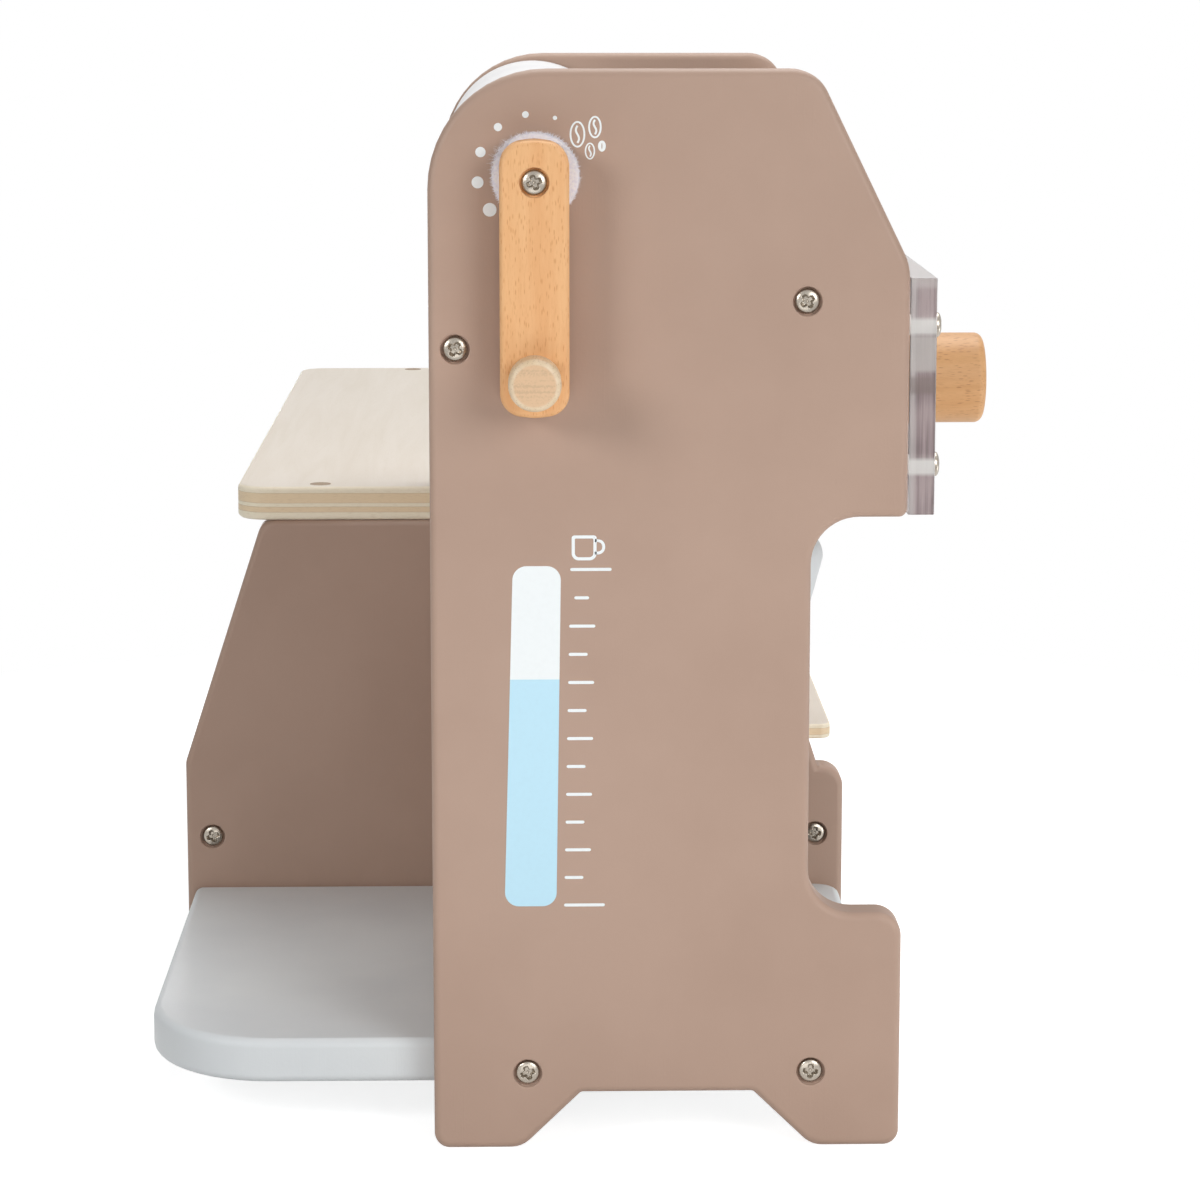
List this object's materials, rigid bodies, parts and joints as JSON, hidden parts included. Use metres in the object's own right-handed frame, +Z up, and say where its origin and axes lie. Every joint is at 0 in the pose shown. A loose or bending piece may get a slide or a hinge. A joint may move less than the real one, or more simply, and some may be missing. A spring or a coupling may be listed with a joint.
{
  "type": "toy coffee maker",
  "caption": "Wooden toy coffee maker: tower with sloping head, clear front window, turning knob and outlet, crank-turned drum, and a low plywood-topped counter beside it.",
  "frame": {"origin": "centre of the bounding box in X and Y, on the floor under the feet", "axes": "+X from the crank side towards the counter side, -Y towards the front with the window and knob, +Z up"},
  "size_m": [0.5454, 0.2564, 0.31],
  "materials": {
    "taupe_board": "smooth matte taupe paint on board",
    "pale_board": "smooth matte pale grey paint on board",
    "white_drum": "smooth satin white paint",
    "birch_plywood": "clear matte lacquer over plywood",
    "beech": "sanded and oiled",
    "birch_round": "sanded and clear lacquered",
    "felt": "pressed felt",
    "clear_plastic": "polished clear acrylic sheet",
    "screw_steel": "satin nickel plated steel"
  },
  "bodies": {
    "frame": {"left_panel": "taupe_board", "middle_panel": "taupe_board", "right_panel": "taupe_board", "base_plate": "pale_board", "back_board": "taupe_board", "head_floor": "taupe_board", "hopper_floor": "taupe_board", "slope_board": "taupe_board", "chute_boards": "birch_plywood", "brew_outlet": "pale_board", "front_window": "clear_plastic", "window_screws": "screw_steel", "felt_washer": "felt", "counter_floor": "pale_board", "counter_divider": "taupe_board", "counter_top": "birch_plywood", "counter_plugs": "birch_round", "counter_screws": "screw_steel", "tray_shelf": "birch_plywood", "tower_dowels": "birch_round", "back_board_screws": "screw_steel", "left_panel_screws": "screw_steel", "middle_panel_left_screws": "screw_steel", "middle_panel_right_screws": "screw_steel", "right_panel_screws": "screw_steel"},
    "crank": {"drum_axle": "birch_round", "drum_shell": "white_drum", "drum_caps": "white_drum", "crank_arm": "beech", "crank_peg": "birch_round", "crank_screw": "screw_steel"},
    "knob": {"front_knob": "beech", "knob_bolt": "screw_steel", "knob_washer": "felt", "dosing_wheel": "birch_round"}
  },
  "joints": [
    {"name": "crank_turn", "type": "hinge", "parent": "frame", "child": "crank", "pos_m": [-0.15135, 0.01005, 0.2798], "axis": [1, 0, 0], "continuous": true},
    {"name": "knob_turn", "type": "hinge", "parent": "frame", "child": "knob", "pos_m": [-0.15135, -0.10345, 0.2128], "axis": [0, -1, 0], "continuous": true}
  ]
}
